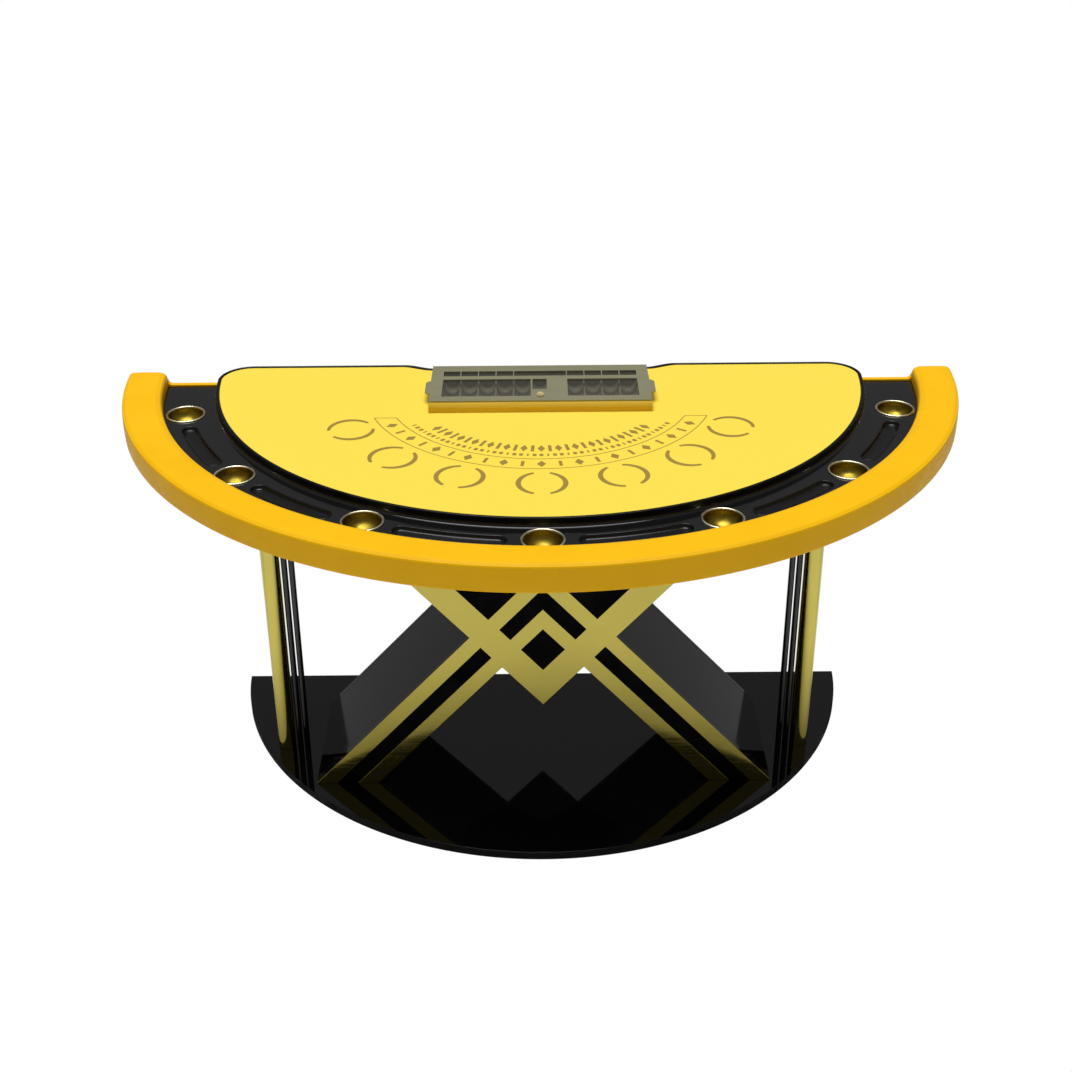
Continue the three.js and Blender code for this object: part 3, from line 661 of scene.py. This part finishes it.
def cups():
    for i, (a, inset) in enumerate(CUPS, 1):
        x, y = on_top(math.radians(a), inset)
        f = Z_TRACK + 0.3
        prof = [(0, Z_CUP), (CUP_R - 6, Z_CUP), (CUP_R - 2, Z_CUP + 1.5), (CUP_R, Z_CUP + 6),
                (CUP_R, f), (49.4, f)]
        # the rolled rim
        for k in range(9):
            t = math.pi * k / 8
            prof.append((46.4 + 3.2 * math.cos(t), f + 0.3 + 3.0 * math.sin(t)))
        # the bowl inside, a round dish a little fuller than an ellipse
        for k in range(17):
            t = math.pi / 2 * k / 16
            prof.append((BOWL_R * math.cos(t) ** 0.9, f - 2 - BOWL_DEPTH * math.sin(t) ** 0.9))
        ob = lathe(f"cup_spun_{i}", prof, [MAT["bowl"], MAT["rim"]], 72, (x, y),
                   lambda r, z: 1 if r > BOWL_R + 0.4 and z > Z_TRACK - 0.5 else 0, 40)
        place(ob, f"cup_{i}", f"cup_{i}", slot="cup_brass")


def deck_outline(inset, count=STATIONS, steps=14):
    """The deck's closed outline: curved front, rounded back corners, eased cut-out."""
    d, r = TRACK_END + inset, CORNER_R - inset
    back, cut_y, half = DECK_BACK - inset, CUT_BACK - inset, CUT_HALF + inset
    pts = curve_at(d, min(TOP_BACK, back - r - 2), count)
    xr = TOP_HALF - d
    for i in range(steps + 1):
        t = i / steps * math.pi / 2
        pts.append((xr - r + r * math.cos(t), back - r + r * math.sin(t)))
    ease = []
    for k in range(13):
        u = k / 12
        ease.append((half + 38 - CUT_EASE * u, back + (cut_y - back) * (3 * u * u - 2 * u ** 3)))
    pts += ease
    pts += [(-x, y) for x, y in reversed(ease)]
    for i in range(steps + 1):
        t = (1 - i / steps) * math.pi / 2
        pts.append((-xr + r - r * math.cos(t), back - r + r * math.sin(t)))
    return pts


def rect(x0, x1, y0, y1):
    return [(x0, y0), (x1, y0), (x1, y1), (x0, y1)]


def deck():
    hole = rect(*TRAY_HOLE)
    outline = deck_outline(TRIM_W + 0.4)
    felt = slab("felt", outline, Z_DECK + 0.3, Z_FELT, [MAT["felt"]], 0.4, [hole], segs=2)
    place(felt, "table", "felt_cloth", slot="felt_yellow")
    marks = felt_print()
    edging(Z_SUB_TOP + 0.3, Z_TRIM)


def edging(z0, z1):
    """Black edging: rounded top, one closed ring round the deck."""
    r = TRIM_R
    prof = [(0.0, z0), (0.0, z1 - r)]
    for k in range(1, 7):
        t = k / 6 * math.pi / 2
        prof.append((r - r * math.cos(t), z1 - r + r * math.sin(t)))
    for k in range(7):
        t = k / 6 * math.pi / 2
        prof.append((TRIM_W - 0.2 - r * (1 - math.sin(t)), z1 - r + r * math.cos(t)))
    prof.append((TRIM_W - 0.2, z0))
    rings = [[(x, y, z) for x, y in deck_outline(d)] for d, z in prof]
    n = len(rings[0])
    verts = [v for ring in rings for v in ring]
    faces = []
    m = len(rings)
    for i in range(m):
        for j in range(n):
            k, i2 = (j + 1) % n, (i + 1) % m
            faces.append((i * n + j, i * n + k, i2 * n + k, i2 * n + j))
    ob = obj_from("deck_edging", verts, faces, [MAT["trim"]], 40)
    place(ob, "table", "deck_trim", slot="trim_black")


def arc_mark(r0, r1, a0, a1, centre=PRINT_C, steps=24, taper=0.0):
    """A flat arc; angles in degrees from the front, positive to the right."""
    outer, inner = [], []
    for k in range(steps + 1):
        u = k / steps
        t = math.radians(a0 + (a1 - a0) * u)
        thin = taper * (1 - math.sin(math.pi * u)) * (r1 - r0) / 2
        for ring, r in ((outer, r1 - thin), (inner, r0 + thin)):
            ring.append((centre[0] + r * math.sin(t), centre[1] - r * math.cos(t)))
    return outer + inner[::-1]


def around(r, deg, corners):
    """A small mark on the print's arc of radius r; corners are (along, outward) offsets."""
    t = math.radians(deg)
    out = (math.sin(t), -math.cos(t))
    along = (math.cos(t), math.sin(t))
    cx, cy = PRINT_C[0] + r * out[0], PRINT_C[1] + r * out[1]
    return [(cx + along[0] * a + out[0] * b, cy + along[1] * a + out[1] * b)
            for a, b in corners]


def lozenge(r, deg, w, h):
    return around(r, deg, ((w, 0), (0, h), (-w, 0), (0, -h)))


def bar(r, deg, w, h):
    return around(r, deg, ((w, -h), (w, h), (-w, h), (-w, -h)))


def print_marks():
    marks = []
    # betting spots: two crescents each, open towards the dealer and the player
    for deg in SPOT_DEG:
        t = math.radians(deg)
        c = (PRINT_C[0] + SPOT_AT * math.sin(t), PRINT_C[1] - SPOT_AT * math.cos(t))
        for side in (0, 180):
            marks.append(arc_mark(SPOT_IN, SPOT_OUT, deg + side + 20, deg + side + 160, c, 28, 0.35))
    # outlined band, cut straight towards the dealer
    drop = PRINT_C[1] - BAND_CUT
    for r in (BAND_OUT, BAND_IN):
        lim = math.degrees(math.acos(drop / r))
        marks.append(arc_mark(r - LINE_HALF, r + LINE_HALF, -lim, lim, steps=90))
    for side in (-1, 1):
        x0 = math.sqrt(BAND_IN ** 2 - drop ** 2)
        x1 = math.sqrt(BAND_OUT ** 2 - drop ** 2)
        marks.append(rect(*sorted((side * x0, side * x1)), BAND_CUT - LINE_HALF, BAND_CUT + LINE_HALF))
    # plain ornament: lozenges and bars in the band, dashes, then a row of both
    for k in range(21):
        deg = -62 + 124 * k / 20
        marks.append(lozenge(BAND_MARKS_R, deg, 11, 16) if k % 2 == 0
                     else bar(BAND_MARKS_R, deg, 4, 13))
    for k in range(47):
        marks.append(bar(DASHES_R, -58 + 116 * k / 46, 4.6 if k % 3 else 2.2, 6))
    for k in range(29):
        deg = -50 + 100 * k / 28
        marks.append(bar(MARKS_R, deg, 4.0, 16) if k % 2 else lozenge(MARKS_R, deg, 9, 17))
    return marks


def felt_print():
    """All marks as thin closed plates of ink on the felt."""
    verts, faces = [], []
    for pts in print_marks():
        n = len(pts)
        base = len(verts)
        verts += [(x, y, Z_FELT + INK0) for x, y in pts]
        verts += [(x, y, Z_FELT + INK1) for x, y in pts]
        for i in range(n):
            j = (i + 1) % n
            faces.append((base + i, base + j, base + n + j, base + n + i))
        if n == 4:
            strips = [(0, 1, 2, 3)]
        else:
            strips = [(i, i + 1, n - 2 - i, n - 1 - i) for i in range(n // 2 - 1)]
        for strip in strips:
            faces.append(tuple(base + n + v for v in strip))
            faces.append(tuple(base + v for v in reversed(strip)))
    ob = obj_from("felt_print", verts, faces, [MAT["ink"]], 30)
    place(ob, "table", slot="felt_yellow")
    return ob


# --------------------------------------------------------------- pedestal
def boards():
    for node in ("pedestal_front", "pedestal_back", "pedestal_top"):
        dress(node, MAT["lacquer"], 1.6)
    for tag in ("left", "right"):
        for node in ("leg_outer", "leg_inner", "arm_outer", "vee_board"):
            dress(f"{node}_{tag}", MAT["slab"], 0.6)
        dress("inlay_leg_" + tag, MAT["inlay"], 0.2, 1)
        dress("column_flange_" + tag, MAT["plate"], 1.2)
    for node in ("inlay_diamond", "inlay_chevron", "inlay_upper"):
        dress(node, MAT["inlay"], 0.2, 1)
    dress("fascia_gold", MAT["gold"], 0.5, 2)
    for node in ("bearer_front", "bearer_back"):
        dress(node, MAT["bearer"], 2.0)
    for node in ("sub_top", "armrest_core", "deck_board"):
        dress(node, MAT["ply"], 0.8, 2)


def columns():
    z0, z1 = Z_COL0, Z_COL1
    for side, tag in ((-1, "left"), (1, "right")):
        for name, x, r, mat, slot in POSTS:
            prof = [(0, z0), (r - 0.6, z0), (r, z0 + 0.6), (r, z1 - 0.6), (r - 0.6, z1), (0, z1)]
            ob = lathe(f"{name}_{tag}", prof, [MAT[mat]], 96 if r > 10 else 32, (side * x, COL_Y))
            place(ob, "table", f"column_{name}_{tag}", slot=slot)


def base():
    pts = []
    end = math.acos((BASE_CY - BASE_BACK) / BASE_B)
    for i in range(161):
        t = -end + 2 * end * i / 160
        pts.append((BASE_A * math.sin(t), min(BASE_CY - BASE_B * math.cos(t), BASE_BACK)))
    ob = slab("base_gloss", pts, Z_BASE0, Z_BASE1, [MAT["base"], MAT["edge"]], 1.2, segs=3)
    # faces leaning away from the top take the dull copy: painted shade on the base's sides and lower
    # edge
    for poly in ob.data.polygons:
        poly.material_index = 1 if poly.normal.z < 0.6 else 0
    place(ob, "table", "base_plate", slot="lacquer_black")
    frame["nodes"]["base_underlay"].data.materials.clear()
    frame["nodes"]["base_underlay"].data.materials.append(MAT["rubber"])


# --------------------------------------------------------------- chip tray
def chip_tray():
    body = dress("tray_body", MAT["tray"], 1.4, 3, 40)
    body.data.materials.append(MAT["lid"])
    body.data.materials.append(MAT["well"])
    for poly in body.data.polygons:
        c = poly.center / MM
        in_well = abs(c.x) < WELL_HALF and WELL_Y0 < c.y < WELL_Y1 and WELL_Z0 < c.z < WELL_Z1
        if in_well:
            poly.material_index = 2
        elif c.y > TRAY_BACK:
            poly.material_index = 1
    dress("tray_lid", MAT["lid"], 0.5, 2, 40)
    dress("lid_window", MAT["pane"], 0.3, 2)
    dress("lid_lock", MAT["lock"], 0.8, 3, 40)
    dress("hinge_pin", MAT["pin"], 0.4, 2, 40)


# ------------------------------------------------------------ camera, light
CAM_AT = (-0.0222, -3.4074, 2.5053)
CAM_PITCH, CAM_YAW, CAM_ROLL = 0.50346, 0.00236, -0.00725
CAM_SENSOR = 36
CAM_LENS = 1616.8 / 1072 * CAM_SENSOR


def camera():
    pitch, yaw, roll = CAM_PITCH, CAM_YAW, CAM_ROLL
    loc = Vector(CAM_AT)
    fw = Vector((math.sin(yaw) * math.cos(pitch), math.cos(yaw) * math.cos(pitch),
                 -math.sin(pitch)))
    right = Vector((math.cos(yaw), -math.sin(yaw), 0))
    up = right.cross(fw)
    c, s = math.cos(roll), math.sin(roll)
    r2, u2 = c * right + s * up, -s * right + c * up
    cam = bpy.data.cameras.new("camera")
    cam.sensor_width = CAM_SENSOR
    cam.lens = CAM_LENS
    ob = bpy.data.objects.new("camera", cam)
    ob.matrix_world = Matrix((
        (r2.x, u2.x, -fw.x, loc.x), (r2.y, u2.y, -fw.y, loc.y),
        (r2.z, u2.z, -fw.z, loc.z), (0, 0, 0, 1)))
    bpy.context.scene.collection.objects.link(ob)
    bpy.context.scene.camera = ob


# sky brightness by direction, from straight down (0) through the horizon (0.5) to straight up (1)
SKY = ((0.0, 0.9), (0.3, 0.8), (0.38, 0.35), (0.43, 0.2), (0.5, 0.15), (0.56, 0.15),
       (0.78, 0.18), (1.0, 0.3))
FLOOR_R, FLOOR_Y = 2.4, -2.0


def light():
    sky()
    sun = bpy.data.lights.new("key", "SUN")
    sun.energy = 2.75
    sun.angle = math.radians(40)
    ob = bpy.data.objects.new("key", sun)
    ob.rotation_euler = (math.radians(-4), math.radians(-3), 0)
    bpy.context.scene.collection.objects.link(ob)
    pale_floor()
    bpy.context.scene.view_settings.view_transform = "Standard"


def sky():
    """A white backdrop for the camera; softer greys by direction for everything else."""
    world = bpy.data.worlds.new("studio")
    bpy.context.scene.world = world
    world.use_nodes = True
    nt = world.node_tree
    bg = nt.nodes["Background"]
    tc = nt.nodes.new("ShaderNodeTexCoord")
    sep = nt.nodes.new("ShaderNodeSeparateXYZ")
    ramp = nt.nodes.new("ShaderNodeValToRGB")
    half = nt.nodes.new("ShaderNodeMapRange")
    half.inputs["From Min"].default_value = -1
    path = nt.nodes.new("ShaderNodeLightPath")
    mix = nt.nodes.new("ShaderNodeMix")
    mix.data_type = "RGBA"
    mix.inputs[7].default_value = (1, 1, 1, 1)
    el = ramp.color_ramp.elements
    while len(el) < len(SKY):
        el.new(0.5)
    for e, (pos, val) in zip(el, SKY):
        e.position = pos
        e.color = (val, val, val, 1)
    nt.links.new(tc.outputs["Generated"], sep.inputs[0])
    nt.links.new(sep.outputs["Z"], half.inputs["Value"])
    nt.links.new(half.outputs["Result"], ramp.inputs["Fac"])
    nt.links.new(ramp.outputs["Color"], mix.inputs[6])
    nt.links.new(path.outputs["Is Camera Ray"], mix.inputs[0])
    nt.links.new(mix.outputs[2], bg.inputs["Color"])
    bg.inputs["Strength"].default_value = 1.0


def pale_floor():
    """A pale disc in front of the table that the camera does not see; it lights the front."""
    ring = [(FLOOR_R * math.cos(k * math.pi / 24), FLOOR_R * math.sin(k * math.pi / 24) + FLOOR_Y, 0)
            for k in range(48)]
    me = bpy.data.meshes.new("floor")
    me.from_pydata(ring, [], [tuple(range(48))])
    me.materials.append(Mat("floor_pale", (0.9, 0.9, 0.9), 0.9, Specular_IOR_Level=0.1).m)
    floor = bpy.data.objects.new("floor", me)
    floor.visible_camera = False
    bpy.context.scene.collection.objects.link(floor)


camera()
light()
armrest()
end_lips()
racetrack()
cups()
deck()
boards()
columns()
base()
chip_tray()
